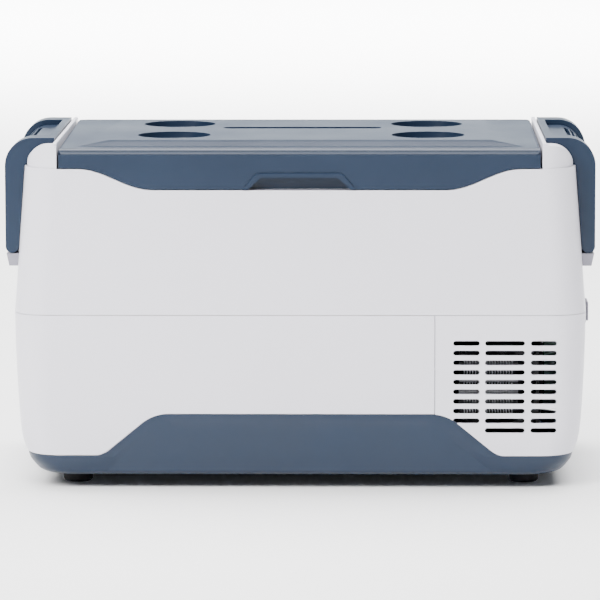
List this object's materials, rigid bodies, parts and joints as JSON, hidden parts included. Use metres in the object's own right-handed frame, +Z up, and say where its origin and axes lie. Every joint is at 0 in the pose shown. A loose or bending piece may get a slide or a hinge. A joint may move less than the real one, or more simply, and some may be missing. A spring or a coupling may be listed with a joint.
{
  "type": "compressor cooler fridge",
  "caption": "Portable top-opening compressor cooler with hinged lid, cup recesses, swing-out end handles, vented compressor bay and an insulated stepped tub.",
  "frame": {"origin": "on the floor, under the middle of the object", "axes": "+X towards the vented compressor end, -Y towards the front, +Z up"},
  "size_m": [0.5906, 0.313, 0.3502],
  "materials": {
    "blue_shell": "moulded blue plastic, fine grain",
    "white_shell": "moulded white plastic, satin gloss",
    "liner": "smooth light grey moulding",
    "foam": "rigid insulation foam",
    "grey_plastic": "light grey moulding",
    "dark_plastic": "black moulding",
    "rubber": "moulded black rubber",
    "copper": "drawn copper tube",
    "fins": "thin fins",
    "steel": "zinc plated",
    "black_steel": "black paint",
    "wire": "white coated wire",
    "board": "green board",
    "window": "dark clear window",
    "lamp": "frosted lens",
    "contact": "bare contact"
  },
  "bodies": {
    "body": {"base_tray": "blue_shell", "lower_shell": "white_shell", "vent_housing": "white_shell", "upper_shell": "white_shell", "top_deck": "white_shell", "left_shoulder": "white_shell", "right_shoulder": "white_shell", "tub_liner": "liner", "tub_foam": "foam", "evaporator_sheet": "fins", "evaporator_tube": "copper", "wire_basket": "wire", "interior_lamp": "lamp", "partition": "steel", "compressor_plate": "steel", "compressor_mounts": "rubber", "compressor": "black_steel", "terminal_cover": "dark_plastic", "refrigerant_pipes": "copper", "filter_drier": "copper", "condenser": "fins", "fan_frame": "dark_plastic", "control_board": "board", "rear_grille": "white_shell", "control_bezel": "dark_plastic", "display_board": "board", "display_window": "window", "power_socket": "dark_plastic", "socket_pins": "contact", "left_handle_bracket": "grey_plastic", "right_handle_bracket": "grey_plastic", "left_handle_pins": "steel", "right_handle_pins": "steel", "hinge_brackets": "steel", "hinge_pins": "steel", "front_left_foot": "rubber", "front_right_foot": "rubber", "rear_left_foot": "rubber", "rear_right_foot": "rubber", "foot_screws": "steel", "base_screws": "steel"},
    "lid": {"lid_shell": "blue_shell", "lid_foam": "foam", "lid_liner": "liner", "lid_gasket": "rubber", "lid_hinge_leaves": "steel", "hinge_screws": "steel"},
    "left_handle": {"left_handle": "blue_shell"},
    "right_handle": {"right_handle": "blue_shell"},
    "fan": {"fan_rotor": "dark_plastic"},
    "socket_cover": {"socket_cover": "rubber"},
    "power_button": {"power_button": "grey_plastic"},
    "set_button": {"set_button": "grey_plastic"},
    "up_button": {"up_button": "grey_plastic"},
    "down_button": {"down_button": "grey_plastic"}
  },
  "joints": [
    {"name": "lid_hinge", "type": "hinge", "parent": "body", "child": "lid", "pos_m": [0, 0.145, 0.332], "axis": [-1, 0, 0], "range_deg": [0, 95]},
    {"name": "left_handle_pivot", "type": "hinge", "parent": "body", "child": "left_handle", "pos_m": [-0.2887, 0, 0.2412], "axis": [0, -1, 0], "range_deg": [0, 85]},
    {"name": "right_handle_pivot", "type": "hinge", "parent": "body", "child": "right_handle", "pos_m": [0.2887, 0, 0.2412], "axis": [0, 1, 0], "range_deg": [0, 85]},
    {"name": "fan_spin", "type": "hinge", "parent": "body", "child": "fan", "pos_m": [0.2, -0.104, 0.098], "axis": [0, 1, 0], "continuous": true},
    {"name": "power_button_press", "type": "slide", "parent": "body", "child": "power_button", "axis": [-0.997, 0, -0.078], "range_m": [0, 0.001], "stiffness_N_per_m": 400},
    {"name": "set_button_press", "type": "slide", "parent": "body", "child": "set_button", "axis": [-0.997, 0, -0.078], "range_m": [0, 0.001], "stiffness_N_per_m": 400},
    {"name": "up_button_press", "type": "slide", "parent": "body", "child": "up_button", "axis": [-0.997, 0, -0.078], "range_m": [0, 0.001], "stiffness_N_per_m": 400},
    {"name": "down_button_press", "type": "slide", "parent": "body", "child": "down_button", "axis": [-0.997, 0, -0.078], "range_m": [0, 0.001], "stiffness_N_per_m": 400},
    {"name": "socket_cover_hinge", "type": "hinge", "parent": "body", "child": "socket_cover", "pos_m": [0.2934, 0, 0.1705], "axis": [0, -1, 0], "range_deg": [0, 110]}
  ]
}
